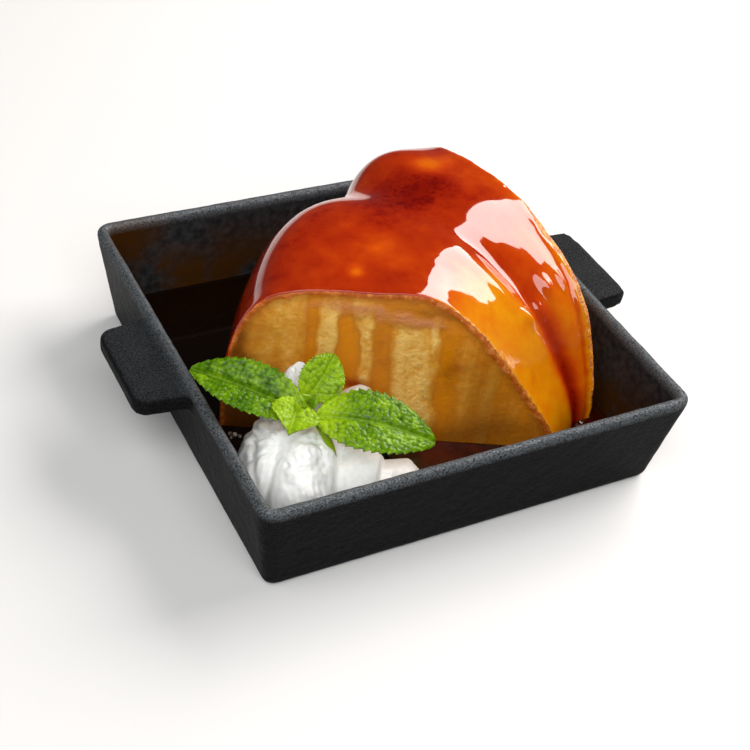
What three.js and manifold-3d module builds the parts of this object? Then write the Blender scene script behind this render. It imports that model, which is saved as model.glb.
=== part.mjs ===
// A slice of caramel custard from a fluted ring mould, served in a small square cast-iron dish
// with a pool of caramel, a heap of whipped cream and a sprig of mint.
// Millimetres, +Z up. The origin is the centre of the dish's underside, and the dish's two
// lugs point along +X and -X.

import * as THREE from 'three';
import { mergeVertices } from 'three/addons/utils/BufferGeometryUtils.js';
import Module from 'manifold-3d';

const wasm = await Module();
wasm.setup();

const degree = Math.PI / 180;

// ---- driving dimensions -------------------------------------------------------------------

const gap = 0.3; // air left between a piece and what it lies on or is cut round

const dish = {
  rimHalf: 65.6,
  footHalf: 60.8,
  height: 32.2,
  wall: 3.7,
  floor: 4,
  lip: 1.9, // radius of the rolled rim
  cornerRadius: 5,
  footCornerRadius: 3,
  cornerSteps: 6,
};

const lug = {
  reach: 14, // out from the rim
  width: 36.4,
  setBack: 3, // its middle lies this far behind the dish's
  narrowing: 1.7, // each side, from the wall to the outer edge
  cornerRadius: 4,
  thickness: 5.6,
  belowRim: 2.6,
  edgeRadius: 1.2,
  bite: 2.1, // how far its root lies inside the rim's outer edge
};

const sauce = { level: 6.6 };

// The slice is part of a ring. Its sections are measured outwards from the ring's axis.
const ring = {
  axisX: 56,
  axisY: -57,
  nearCut: 154.4 * degree,
  farCut: 99.4 * degree,
  height: 57.2,
  steps: 36,
  sectionSteps: 46,
};

// Grooves run over the slice from the outer side to the inner side, and lobes swell between them.
// A depth below nought is a swelling. Each has one depth on the outer side, one on the crown
// and one on the inner side. bow and hook bend a groove off its angle, as grooveAngle says.
const flutes = [
  {
    angle: 120.5 * degree,
    halfWidth: 5.6 * degree,
    outer: 3.4,
    crown: 0.7,
    inner: 1.2,
    bow: 3.6 * degree,
    hook: 5.5 * degree,
  },
  { angle: 104.5 * degree, halfWidth: 2.8 * degree, outer: 0, crown: 0.2, inner: 0.8, bow: 0, hook: 0 },
  { angle: 110 * degree, halfWidth: 7 * degree, outer: -3.2, crown: -0.7, inner: 0, bow: 0, hook: 0 },
  { angle: 137 * degree, halfWidth: 11 * degree, outer: -2.2, crown: -0.4, inner: 0, bow: 0, hook: 0 },
];

const cream = {
  heart: new THREE.Vector3(-36, -34, 9),
  top: 45, // above all of it
  blend: 2, // how softly one lobe runs into the next
  ridges: 9,
  ridgeRise: 4,
  ridgeDepth: 0.45,
  aroundSteps: 64,
  overSteps: 32,
};

const sprig = {
  node: new THREE.Vector3(-39.5, -33, 34),
  budRadius: 2.2,
  stemRadius: 1.3,
  leafThickness: 0.6,
  teeth: 10,
  toothDepth: 0.09,
  veins: 6,
  quiltDepth: 0.35,
  stepsAlong: 20,
  stepsAcross: 8,
};

// ---- closed meshes and solids --------------------------------------------------------------

// Signed volume of an indexed geometry, positive where its faces point out.
function signedVolume(geometry) {
  const position = geometry.getAttribute('position');
  const index = geometry.getIndex();
  const a = new THREE.Vector3();
  const b = new THREE.Vector3();
  const c = new THREE.Vector3();
  let volume = 0;
  for (let i = 0; i < index.count; i += 3) {
    a.fromBufferAttribute(position, index.getX(i));
    b.fromBufferAttribute(position, index.getX(i + 1));
    c.fromBufferAttribute(position, index.getX(i + 2));
    volume += a.dot(b.cross(c)) / 6;
  }
  return volume;
}

// Turns any closed geometry into a manifold solid with its faces pointing out.
function toSolid(geometry) {
  const bare = geometry.clone();
  bare.deleteAttribute('normal');
  bare.deleteAttribute('uv');
  const merged = mergeVertices(bare, 1e-4);
  const triangles = Array.from(merged.getIndex().array);
  if (signedVolume(merged) < 0) {
    triangles.reverse();
  }
  return new wasm.Manifold(new wasm.Mesh({
    numProp: 3,
    vertProperties: new Float32Array(merged.getAttribute('position').array),
    triVerts: new Uint32Array(triangles),
  }));
}

function toGeometry(solid) {
  const mesh = solid.getMesh();
  const geometry = new THREE.BufferGeometry();
  geometry.setAttribute('position', new THREE.BufferAttribute(new Float32Array(mesh.vertProperties), 3));
  geometry.setIndex(new THREE.BufferAttribute(new Uint32Array(mesh.triVerts), 1));
  return geometry;
}

// The triangles that fill an outline, each running the same way round as the outline itself.
function fill(outline) {
  const triangles = THREE.ShapeUtils.triangulateShape(outline, []);
  const corners = triangles[0].map((i) => outline[i]);
  const same = THREE.ShapeUtils.area(corners) * THREE.ShapeUtils.area(outline) > 0;
  return same ? triangles : triangles.map((triangle) => triangle.toReversed());
}

// Joins closed outlines of equal length into a skin, and shuts the first and the last one.
// capPlane turns a point of an end outline into the two coordinates of its plane.
function loft(outlines, capPlane) {
  const count = outlines[0].length;
  const positions = [];
  const faces = [];
  for (const outline of outlines) {
    for (const point of outline) {
      positions.push(point.x, point.y, point.z);
    }
  }
  for (let row = 0; row + 1 < outlines.length; row += 1) {
    for (let i = 0; i < count; i += 1) {
      const a = row * count + i;
      const b = row * count + (i + 1) % count;
      faces.push(a, b, b + count, a, b + count, a + count);
    }
  }
  for (const triangle of fill(outlines[0].map(capPlane))) {
    faces.push(triangle[2], triangle[1], triangle[0]);
  }
  const last = (outlines.length - 1) * count;
  for (const triangle of fill(outlines.at(-1).map(capPlane))) {
    faces.push(last + triangle[0], last + triangle[1], last + triangle[2]);
  }
  const geometry = new THREE.BufferGeometry();
  geometry.setAttribute('position', new THREE.Float32BufferAttribute(positions, 3));
  geometry.setIndex(faces);
  return geometry;
}

const flat = (point) => new THREE.Vector2(point.x, point.y);

// ---- the dish ------------------------------------------------------------------------------

// A square outline with round corners at height z.
function roundedSquare(half, radius, z) {
  const points = [];
  for (let corner = 0; corner < 4; corner += 1) {
    const middle = (corner + 0.5) * Math.PI / 2;
    const centreX = (half - radius) * Math.sign(Math.cos(middle));
    const centreY = (half - radius) * Math.sign(Math.sin(middle));
    for (let step = 0; step <= dish.cornerSteps; step += 1) {
      const turn = (corner + step / dish.cornerSteps) * Math.PI / 2;
      points.push(new THREE.Vector3(
        centreX + radius * Math.cos(turn),
        centreY + radius * Math.sin(turn),
        z,
      ));
    }
  }
  return points;
}

const wallLean = (dish.rimHalf - dish.footHalf) / (dish.height - dish.lip);

// Half the width of the dish's inside at height z.
function insideHalf(z) {
  return dish.footHalf - dish.wall + wallLean * z;
}

function dishBowl() {
  const underEdge = 1.4;
  const floorEdge = 2;
  const rimHeight = dish.height - dish.lip;
  const rimCentre = dish.rimHalf - dish.lip;
  const outlines = [];
  const footCorner = dish.footCornerRadius;
  outlines.push(roundedSquare(dish.footHalf - underEdge, footCorner - 0.6 * underEdge, 0));
  outlines.push(roundedSquare(dish.footHalf - 0.3 * underEdge, footCorner, 0.3 * underEdge));
  outlines.push(roundedSquare(dish.footHalf + wallLean * underEdge, footCorner, underEdge));
  for (let step = 0; step <= 6; step += 1) {
    const turn = step / 6 * Math.PI;
    const half = rimCentre + dish.lip * Math.cos(turn);
    const z = rimHeight + dish.lip * Math.sin(turn);
    outlines.push(roundedSquare(half, dish.cornerRadius - dish.lip + dish.lip * Math.cos(turn), z));
  }
  const innerCorner = dish.cornerRadius - 2 * dish.lip + 0.8;
  const wallFoot = dish.floor + floorEdge;
  outlines.push(roundedSquare(insideHalf(wallFoot), innerCorner + 1, wallFoot));
  outlines.push(roundedSquare(
    insideHalf(dish.floor) - 0.3 * floorEdge,
    innerCorner + 1,
    dish.floor + 0.3 * floorEdge,
  ));
  outlines.push(roundedSquare(insideHalf(dish.floor) - floorEdge, innerCorner, dish.floor));
  return toSolid(loft(outlines, flat));
}

// One lug, on the +X side. Its mirror image in the YZ plane is the other.
function dishLug() {
  const root = dish.rimHalf - lug.bite;
  const end = dish.rimHalf + lug.reach - lug.edgeRadius;
  const rootHalf = lug.width / 2 - lug.edgeRadius;
  const endHalf = rootHalf - lug.narrowing;
  const shape = new THREE.Shape();
  shape.moveTo(root, -rootHalf);
  shape.lineTo(end - lug.cornerRadius, -endHalf);
  shape.quadraticCurveTo(end, -endHalf, end, -endHalf + lug.cornerRadius);
  shape.lineTo(end, endHalf - lug.cornerRadius);
  shape.quadraticCurveTo(end, endHalf, end - lug.cornerRadius, endHalf);
  shape.lineTo(root, rootHalf);
  shape.closePath();
  const geometry = new THREE.ExtrudeGeometry(shape, {
    depth: lug.thickness - 2 * lug.edgeRadius,
    bevelEnabled: true,
    bevelThickness: lug.edgeRadius,
    bevelSize: lug.edgeRadius,
    bevelSegments: 3,
    curveSegments: 5,
    steps: 1,
  });
  const top = dish.height - lug.belowRim;
  return geometry.translate(0, lug.setBack, top - lug.thickness + lug.edgeRadius);
}

function dishSolid() {
  const right = dishLug();
  const left = right.clone().scale(-1, 1, 1);
  return dishBowl().add(toSolid(right)).add(toSolid(left));
}

// The room inside the dish, up to height top, with the usual gap to its floor and walls.
function dishRoom(top) {
  const low = dish.floor + gap;
  const mid = dish.floor + 2;
  const corner = dish.cornerRadius - 2 * dish.lip + 1.4;
  return toSolid(loft([
    roundedSquare(insideHalf(dish.floor) - 2 - gap, corner, low),
    roundedSquare(insideHalf(mid) - gap, corner, mid + gap),
    roundedSquare(insideHalf(top) - gap, corner, top),
  ], flat));
}

// ---- the slice of caramel custard ----------------------------------------------------------

// Sections of the ring from its inner foot over the crown to its outer foot, as distance from
// the axis and height. They lean out of round a little, as soft custard does.
const footLevel = dish.floor + gap;
const nearSection = new THREE.SplineCurve([
  new THREE.Vector2(20.5, footLevel),
  new THREE.Vector2(25, 13.2),
  new THREE.Vector2(33, 24.5),
  new THREE.Vector2(43.3, 38.2),
  new THREE.Vector2(54.2, 50),
  new THREE.Vector2(66, ring.height),
  new THREE.Vector2(82, ring.height),
  new THREE.Vector2(99, ring.height - 0.8),
  new THREE.Vector2(111, ring.height - 6),
  new THREE.Vector2(117.5, 38),
  new THREE.Vector2(119.6, 22),
  new THREE.Vector2(120, footLevel),
]);
const farSection = new THREE.SplineCurve([
  new THREE.Vector2(17.5, footLevel),
  new THREE.Vector2(18.2, 14),
  new THREE.Vector2(22.4, 27),
  new THREE.Vector2(30, 41.4),
  new THREE.Vector2(43, 51.6),
  new THREE.Vector2(58.3, 57),
  new THREE.Vector2(76, ring.height + 0.9),
  new THREE.Vector2(93, ring.height - 1),
  new THREE.Vector2(105, ring.height - 6),
  new THREE.Vector2(110.5, 38),
  new THREE.Vector2(112.5, 21),
  new THREE.Vector2(113, footLevel),
]);

// Where the middle of a groove lies at one place along the section: it bows towards the near
// cut high on the inner side, and hooks back towards the far cut at the inner foot.
function grooveAngle(line, along) {
  const bow = Math.exp(-(((along - 0.38) / 0.15) ** 2));
  const hook = 1 - THREE.MathUtils.smoothstep(along, 0, 0.25);
  return line.angle + line.bow * bow - line.hook * hook;
}

// A point of the ring's skin: along runs 0..1 from the inner foot to the outer foot, and grow
// moves the skin outwards.
function ringPoint(angle, along, grow) {
  const turned = (ring.nearCut - angle) / (ring.nearCut - ring.farCut);
  const near = nearSection.getPoint(along);
  const far = farSection.getPoint(along);
  const point = near.lerp(far, turned);
  const tangent = nearSection.getTangent(along).lerp(farSection.getTangent(along), turned).normalize();
  const { smoothstep } = THREE.MathUtils;
  const outer = smoothstep(along, 0.56, 0.72) * (1 - 0.8 * smoothstep(along, 0.78, 1));
  const inner = 1 - smoothstep(along, 0.18, 0.5);
  let inwards = -grow;
  for (const line of flutes) {
    const depth = line.outer * outer + line.inner * inner + line.crown * (1 - outer) * (1 - inner);
    inwards += depth * Math.exp(-(((angle - grooveAngle(line, along)) / line.halfWidth) ** 2));
  }
  point.x += inwards * tangent.y;
  point.y -= inwards * tangent.x;
  const foot = footLevel - grow;
  const isFoot = along === 0 || along === 1;
  return new THREE.Vector2(point.x, isFoot ? foot : Math.max(point.y, foot));
}

// The slice's outline at one angle, moved by shift along the way it turns.
function ringOutline(angle, grow, shift) {
  const outline = [];
  for (let i = 0; i <= ring.sectionSteps; i += 1) {
    const point = ringPoint(angle, i / ring.sectionSteps, grow);
    outline.push(new THREE.Vector3(
      ring.axisX + point.x * Math.cos(angle) - shift * Math.sin(angle),
      ring.axisY + point.x * Math.sin(angle) + shift * Math.cos(angle),
      point.y,
    ));
  }
  return outline;
}

// The slice, made larger all round by grow.
function flanSolid(grow) {
  const outlines = [];
  if (grow > 0) {
    outlines.push(ringOutline(ring.nearCut, grow, grow));
  }
  for (let step = 0; step <= ring.steps; step += 1) {
    const angle = THREE.MathUtils.lerp(ring.nearCut, ring.farCut, step / ring.steps);
    outlines.push(ringOutline(angle, grow, 0));
  }
  if (grow > 0) {
    outlines.push(ringOutline(ring.farCut, grow, -grow));
  }
  const section = (point) => new THREE.Vector2(
    Math.hypot(point.x - ring.axisX, point.y - ring.axisY),
    point.z,
  );
  return toSolid(loft(outlines, section));
}

// ---- the whipped cream ----------------------------------------------------------------------

// Lobes of cream spooned and piped into the dish's corner: middle and three half-widths.
const creamLobes = [
  { at: [-43.5, -38, 10], size: [16, 17, 19] }, // the tall front lobe under the mint
  { at: [-25.5, -44, 8], size: [14.5, 13.5, 16] }, // the smooth lobe to its right
  { at: [-15, -45, 5], size: [7, 9, 10] }, // the low end of the heap
  { at: [-46, -24.5, 6], size: [7.5, 8, 13] }, // the low lobe against the left wall
  { at: [-35, -20.5, 15], size: [8.2, 6, 21.5] }, // the peak at the back
  { at: [-19, -27.5, 9], size: [9.5, 7, 17] }, // the ridge behind the mint
];

// Roughly how far a point lies outside a lobe, below nought inside it.
function outsideLobe(lobe, point) {
  const x = (point.x - lobe.at[0]) / lobe.size[0];
  const y = (point.y - lobe.at[1]) / lobe.size[1];
  const z = (point.z - lobe.at[2]) / lobe.size[2];
  return (Math.hypot(x, y, z) - 1) * Math.min(...lobe.size);
}

// The lobes run softly into each other, and shallow ridges wind round the heap.
function outsideCream(point) {
  let total = 0;
  for (const lobe of creamLobes) {
    total += Math.exp(-outsideLobe(lobe, point) / cream.blend);
  }
  const turn = Math.atan2(point.y - cream.heart.y, point.x - cream.heart.x);
  const ridge = Math.sin(cream.ridges * turn + point.z / cream.ridgeRise);
  return -cream.blend * Math.log(total) + cream.ridgeDepth * ridge;
}

// How far the cream reaches from its heart in one direction.
function creamReach(direction) {
  const stride = 0.5;
  const point = new THREE.Vector3();
  let reach = 0;
  while (outsideCream(point.copy(cream.heart).addScaledVector(direction, reach)) < 0) {
    reach += stride;
  }
  let inside = reach - stride;
  for (let halving = 0; halving < 12; halving += 1) {
    const middle = (inside + reach) / 2;
    if (outsideCream(point.copy(cream.heart).addScaledVector(direction, middle)) < 0) {
      inside = middle;
    } else {
      reach = middle;
    }
  }
  return reach;
}

function creamSolid(grow) {
  const geometry = new THREE.SphereGeometry(1, cream.aroundSteps, cream.overSteps);
  geometry.rotateX(Math.PI / 2);
  const position = geometry.getAttribute('position');
  const point = new THREE.Vector3();
  for (let i = 0; i < position.count; i += 1) {
    point.fromBufferAttribute(position, i).normalize();
    point.multiplyScalar(creamReach(point) + grow).add(cream.heart);
    position.setXYZ(i, point.x, point.y, point.z);
  }
  return toSolid(geometry);
}

// ---- the sprig of mint ------------------------------------------------------------------------

// Each leaf runs from base to tip. up is roughly the way its upper face looks, arch lifts the
// middle of its midrib, and fold raises its two halves into a shallow V.
const leaves = [
  {
    base: [-41, -36, 33.5],
    tip: [-64.3, -12, 36.5],
    up: [-0.1, -0.45, 0.9],
    width: 15.5,
    arch: 2,
    fold: 0.35,
  },
  {
    base: [-38, -35.5, 33.5],
    tip: [-10, -52.5, 28.5],
    up: [0.05, -0.4, 0.92],
    width: 19,
    arch: 3.4,
    fold: 0.12,
  },
  {
    base: [-39.5, -31.5, 34.5],
    tip: [-28.5, -25.5, 42.5],
    up: [-0.3, -0.75, 0.6],
    width: 13,
    arch: 3,
    fold: 0.2,
  },
  {
    base: [-40.5, -34.5, 34.5],
    tip: [-46.5, -44.5, 33],
    up: [0, -0.3, 0.95],
    width: 10.5,
    arch: 1,
    fold: 0.25,
  },
];

// Half a leaf's width from base to tip: egg-shaped, with teeth that point to the tip.
function leafHalfWidth(leaf, along) {
  const body = Math.sin(Math.PI * along ** 0.8) ** 0.8;
  const tooth = (along * sprig.teeth) % 1;
  return leaf.width / 2 * body * (1 - sprig.toothDepth * tooth);
}

function leafGeometry(leaf, grow) {
  const base = new THREE.Vector3(...leaf.base);
  const axis = new THREE.Vector3(...leaf.tip).sub(base);
  const length = axis.length();
  axis.normalize();
  const side = new THREE.Vector3(...leaf.up).cross(axis).normalize();
  const up = axis.clone().cross(side);
  const half = sprig.leafThickness / 2 + grow;
  const columns = sprig.stepsAcross + 1;
  const positions = [];
  for (const face of [1, -1]) {
    for (let i = 0; i <= sprig.stepsAlong; i += 1) {
      const along = 0.02 + 0.96 * i / sprig.stepsAlong;
      const halfWidth = leafHalfWidth(leaf, along) + grow;
      for (let j = 0; j < columns; j += 1) {
        const across = 2 * j / sprig.stepsAcross - 1;
        const edge = Math.abs(across);
        const vein = Math.cos(2 * Math.PI * (sprig.veins * along - edge));
        const quilt = sprig.quiltDepth * vein * edge * (1 - edge) * 4;
        const lift = leaf.arch * 4 * along * (1 - along) + leaf.fold * edge * halfWidth * (1 - 0.35 * edge);
        const point = base.clone().addScaledVector(axis, along * length);
        point.addScaledVector(side, across * halfWidth);
        point.addScaledVector(up, lift + quilt + face * half * (1 - 0.4 * edge ** 4));
        positions.push(point.x, point.y, point.z);
      }
    }
  }
  const sheet = (sprig.stepsAlong + 1) * columns;
  const faces = [];
  const quad = (a, b, c, d) => faces.push(a, b, c, a, c, d);
  for (let i = 0; i < sprig.stepsAlong; i += 1) {
    for (let j = 0; j < sprig.stepsAcross; j += 1) {
      const a = i * columns + j;
      quad(a, a + columns, a + columns + 1, a + 1);
      faces.push(sheet + a, sheet + a + columns + 1, sheet + a + columns);
      faces.push(sheet + a, sheet + a + 1, sheet + a + columns + 1);
    }
    const left = i * columns;
    const right = left + sprig.stepsAcross;
    quad(left, sheet + left, sheet + left + columns, left + columns);
    quad(right, right + columns, sheet + right + columns, sheet + right);
  }
  const lastRow = sprig.stepsAlong * columns;
  for (let j = 0; j < sprig.stepsAcross; j += 1) {
    quad(j, j + 1, sheet + j + 1, sheet + j);
    quad(lastRow + j, sheet + lastRow + j, sheet + lastRow + j + 1, lastRow + j + 1);
  }
  const geometry = new THREE.BufferGeometry();
  geometry.setAttribute('position', new THREE.Float32BufferAttribute(positions, 3));
  geometry.setIndex(faces);
  return geometry;
}

function stemSolid(grow) {
  const path = new THREE.CatmullRomCurve3([
    sprig.node.clone(),
    new THREE.Vector3(-38.5, -38.5, 31.5),
    new THREE.Vector3(-37.2, -44, 28),
    new THREE.Vector3(-36, -47.5, 23.5),
    new THREE.Vector3(-35.5, -49, 17),
  ]);
  const section = new THREE.Shape();
  section.absarc(0, 0, sprig.stemRadius + grow, 0, 2 * Math.PI);
  return toSolid(new THREE.ExtrudeGeometry(section, { steps: 8, curveSegments: 8, extrudePath: path }));
}

function sprigSolid(grow) {
  const bud = new THREE.SphereGeometry(sprig.budRadius + grow, 12, 8);
  bud.translate(sprig.node.x, sprig.node.y, sprig.node.z);
  let solid = stemSolid(grow).add(toSolid(bud));
  for (const leaf of leaves) {
    solid = solid.add(toSolid(leafGeometry(leaf, grow)));
  }
  return solid;
}

// ---- named nodes ---------------------------------------------------------------------------

function named(name, solid, colour, roughness, metalness) {
  const material = new THREE.MeshStandardMaterial({ color: colour, roughness, metalness });
  const mesh = new THREE.Mesh(toGeometry(solid), material);
  mesh.name = name;
  return mesh;
}

const flanRoom = flanSolid(gap);
const creamHeap = creamSolid(0)
  .intersect(dishRoom(cream.top))
  .subtract(flanRoom)
  .subtract(sprigSolid(gap));

// The pool lies round the slice and the cream. What they cut off from it is left out.
const pools = dishRoom(sauce.level).subtract(creamSolid(gap)).subtract(flanRoom).decompose();
pools.sort((one, other) => other.volume() - one.volume());

const group = new THREE.Group();
group.add(named('dish', dishSolid(), 0x1b1c1e, 0.7, 0.3));
group.add(named('sauce', pools[0], 0x2a0d05, 0.1, 0));
group.add(named('flan', flanSolid(0), 0xb4501a, 0.25, 0));
group.add(named('cream', creamHeap, 0xf4f2ec, 0.6, 0));
group.add(named('mint_sprig', sprigSolid(0), 0x5f9a1e, 0.5, 0));

export default group;
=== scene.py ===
# Looks for a slice of caramel custard in a small square cast-iron dish, with a pool of caramel,
# a heap of whipped cream and a sprig of mint. Shapes are worked out in millimetres, in the
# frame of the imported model, and turned to metres as each piece is made.

import math

import bpy
import numpy as np
from mathutils import Matrix, Vector, kdtree


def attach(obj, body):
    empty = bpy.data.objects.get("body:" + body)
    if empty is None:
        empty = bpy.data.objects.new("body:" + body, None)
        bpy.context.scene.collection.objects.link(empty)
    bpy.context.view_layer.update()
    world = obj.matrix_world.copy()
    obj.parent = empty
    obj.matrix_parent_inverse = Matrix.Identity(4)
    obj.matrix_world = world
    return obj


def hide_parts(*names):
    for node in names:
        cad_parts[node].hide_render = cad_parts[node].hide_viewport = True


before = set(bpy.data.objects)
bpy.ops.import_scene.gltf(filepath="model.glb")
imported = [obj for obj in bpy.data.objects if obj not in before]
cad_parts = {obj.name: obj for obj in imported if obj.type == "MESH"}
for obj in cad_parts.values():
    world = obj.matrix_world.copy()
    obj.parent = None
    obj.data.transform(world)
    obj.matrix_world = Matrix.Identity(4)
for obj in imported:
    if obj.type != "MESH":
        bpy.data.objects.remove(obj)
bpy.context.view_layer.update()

MM = 0.001
GAP = 0.3

# ---- small tools ------------------------------------------------------------------------------


def deselect_all():
    """Leaves nothing selected, before an operator adds or joins something."""
    for thing in bpy.context.selected_objects:
        thing.select_set(False)


def only(piece):
    """Makes piece the one selected and active object."""
    deselect_all()
    piece.select_set(True)
    bpy.context.view_layer.objects.active = piece
    return piece


def smooth_step(value, low, high):
    """0 up to low, 1 from high on, and a smooth rise between them."""
    share = np.clip((value - low) / (high - low), 0, 1)
    return share * share * (3 - 2 * share)


def bell(value, middle, half_width):
    """1 at the middle, falling away smoothly on both sides."""
    return np.exp(-(((value - middle) / half_width) ** 2))


def rumple(points, size, seed):
    """A smooth random height from -1 to 1 at each point; size is the width of one bump in mm."""
    table = np.random.default_rng(seed).uniform(-1, 1, 4096)
    cell = np.asarray(points, float) / size
    low = np.floor(cell).astype(np.int64)
    part = cell - low
    part = part**3 * (part * (part * 6 - 15) + 10)
    total = np.zeros(cell.shape[:-1])
    for corner in range(8):
        step = np.array([corner & 1, corner >> 1 & 1, corner >> 2 & 1])
        at = low + step
        key = (at[..., 0] * 73856093) ^ (at[..., 1] * 19349663) ^ (at[..., 2] * 83492791)
        weight = np.prod(np.where(step == 1, part, 1 - part), axis=-1)
        total += table[key % 4096] * weight
    return total


def layered_rumple(points, size, seed, layers=3):
    """Bumps of several sizes on each other, each half as wide and half as high as the last."""
    total = 0
    for layer in range(layers):
        total = total + rumple(points, size / 2**layer, seed + layer) / 2**layer
    return total / (2 - 0.5 ** (layers - 1))


def cells(points, size, seed):
    """How far each flat point lies from the nearest of many scattered middles, in cell widths."""
    rng = np.random.default_rng(seed)
    jitter = rng.uniform(0.12, 0.88, (64, 64, 2))
    place = np.asarray(points, float) / size
    low = np.floor(place).astype(np.int64)
    nearest = np.full(place.shape[:-1], 9.0)
    for dx in (-1, 0, 1):
        for dy in (-1, 0, 1):
            at = low + np.array([dx, dy])
            middle = at + jitter[at[..., 0] % 64, at[..., 1] % 64]
            nearest = np.minimum(nearest, np.hypot(*np.moveaxis(place - middle, -1, 0)))
    return nearest


def stacked(x, y, z=0.0):
    """Points with these x and y, and one z for them all."""
    return np.stack([x, y, np.full_like(x, z)], -1)


def grid_faces(rows, columns, start=0, wrap=False):
    """Four-cornered faces between the points of a grid that is stored row by row."""
    across = columns if wrap else columns - 1
    row, column = np.meshgrid(np.arange(rows - 1), np.arange(across), indexing="ij")
    a = start + row * columns + column
    b = start + row * columns + (column + 1) % columns
    return np.stack([a, b, b + columns, a + columns], -1).reshape(-1, 4)


def new_piece(name, points, faces):
    """A mesh object from points in mm."""
    mesh = bpy.data.meshes.new(name)
    mesh.from_pydata((np.asarray(points) * MM).tolist(), [], [list(f) for f in faces])
    piece = bpy.data.objects.new(name, mesh)
    bpy.context.scene.collection.objects.link(piece)
    return piece


def tidy_mesh(piece, merge=0.004, close=False):
    """Merges doubles, drops faces without area and turns every face outwards. close first fills
    the gap that the piece was made with."""
    only(piece)
    bpy.ops.object.mode_set(mode="EDIT")
    bpy.ops.mesh.select_all(action="SELECT")
    bpy.ops.mesh.remove_doubles(threshold=merge * MM)
    bpy.ops.mesh.dissolve_degenerate(threshold=merge * MM * 0.5)
    if close:
        bpy.ops.mesh.select_all(action="DESELECT")
        bpy.ops.mesh.select_non_manifold(extend=False, use_wire=False, use_multi_face=False,
                                         use_non_contiguous=False, use_verts=False)
        bpy.ops.mesh.edge_face_add()
    bpy.ops.mesh.select_all(action="SELECT")
    bpy.ops.mesh.normals_make_consistent(inside=False)
    bpy.ops.object.mode_set(mode="OBJECT")
    return piece


def apply_modifier(piece, kind, **settings):
    """Adds a modifier and makes its result the piece's own mesh."""
    only(piece)
    modifier = piece.modifiers.new(kind.lower(), kind)
    for key, value in settings.items():
        setattr(modifier, key, value)
    bpy.ops.object.modifier_apply(modifier=modifier.name)


def joined(pieces):
    """The pieces made one object, which is the first of them."""
    only(pieces[0])
    for piece in pieces[1:]:
        piece.select_set(True)
    bpy.ops.object.join()
    return pieces[0]


def vertices_of(piece, what):
    """What each vertex has, as rows of three numbers: "co" in metres, or "normal"."""
    values = np.empty(len(piece.data.vertices) * 3, np.float32)
    piece.data.vertices.foreach_get(what, values)
    return values.reshape(-1, 3).astype(float)


def points_of(piece):
    """The piece's vertices in mm."""
    return vertices_of(piece, "co") / MM


def set_points(piece, points):
    """Moves the piece's vertices to points in mm."""
    piece.data.vertices.foreach_set("co", (points * MM).astype(np.float32).ravel())
    piece.data.update()


def set_amount(piece, name, values):
    """Stores one number per vertex, for the materials to read."""
    attribute = piece.data.attributes.new(name, "FLOAT", "POINT")
    attribute.data.foreach_set("value", np.asarray(values, np.float32))


def amount_of(piece, name):
    """The number that set_amount stored for each vertex."""
    values = np.empty(len(piece.data.vertices), np.float32)
    piece.data.attributes[name].data.foreach_get("value", values)
    return values.astype(float)


def smooth_shaded(piece):
    """The piece, with its faces shaded as one smooth skin."""
    piece.data.polygons.foreach_set("use_smooth", [True] * len(piece.data.polygons))
    piece.data.update()
    return piece


def copy_of_node(name, node):
    """A merged copy of a CAD node's mesh, to be worked on."""
    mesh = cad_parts[node].data.copy()
    mesh.materials.clear()
    piece = bpy.data.objects.new(name, mesh)
    bpy.context.scene.collection.objects.link(piece)
    return tidy_mesh(piece)


def linear(colour):
    """An sRGB hex colour as linear red, green, blue and alpha."""
    parts = [int(colour[i : i + 2], 16) / 255 for i in (1, 3, 5)]
    return [c / 12.92 if c <= 0.04045 else ((c + 0.055) / 1.055) ** 2.4 for c in parts] + [1.0]


def bumps_of(size):
    """The scale of a noise whose bumps are this many mm across."""
    return 1 / (size * MM)


def connect(tree, node, inputs):
    """Gives each named socket its value, or links it to the output given. A node stands for the
    first output that it has in use."""
    for key, value in inputs.items():
        if isinstance(value, bpy.types.Node):
            value = next(output for output in value.outputs if output.enabled)
        if isinstance(value, bpy.types.NodeSocket):
            tree.links.new(value, node.inputs[key])
        else:
            node.inputs[key].default_value = value


def add(tree, kind, inputs=None, stops=None, **settings):
    """Adds a node with its settings, its sockets' values and links, and a ramp's colours. Sockets
    go by name, or by number where names repeat: 6 and 7 are the two colours of a Mix."""
    made = tree.nodes.new("ShaderNode" + kind)
    for key, value in settings.items():
        setattr(made, key, value)
    connect(tree, made, inputs or {})
    if stops:
        ramp = made.color_ramp
        while len(ramp.elements) < len(stops):
            ramp.elements.new(0.5)
        # All the places come first, because moving a stop can change the stops' order.
        for element, (place, colour) in zip(ramp.elements, stops):
            element.position = place
        for element, (place, colour) in zip(ramp.elements, stops):
            element.color = linear(colour) if isinstance(colour, str) else [colour] * 3 + [1]
    return made


def new_material(name):
    """An empty material with its Principled shader, ready for a finish."""
    material = bpy.data.materials.new(name)
    material.use_nodes = True
    tree = material.node_tree
    return material, tree, tree.nodes["Principled BSDF"]


# ---- the slice of custard ----------------------------------------------------------------------

# The custard was baked in a ring mould. The cuts stand at these angles round the ring's axis, and
# the slice's section runs from its inner foot over the crown to its outer foot: distance from
# the axis and height.
RING_AXIS = np.array([56.0, -57.0])
NEAR_CUT = 154.4
FAR_CUT = 99.4
FOOT = 4.3
NEAR_SECTION = [
    (20.5, 4.3), (25, 13.2), (33, 24.5), (43.3, 38.2), (54.2, 50), (66, 57.2),
    (82, 57.2), (99, 56.4), (111, 51.2), (117.5, 38), (119.6, 22), (120, 4.3),
]
FAR_SECTION = [
    (17.5, 4.3), (18.2, 14), (22.4, 27), (30, 41.4), (43, 51.6), (58.3, 57),
    (76, 58.1), (93, 56.2), (105, 51.2), (110.5, 38), (112.5, 21), (113, 4.3),
]
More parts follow.
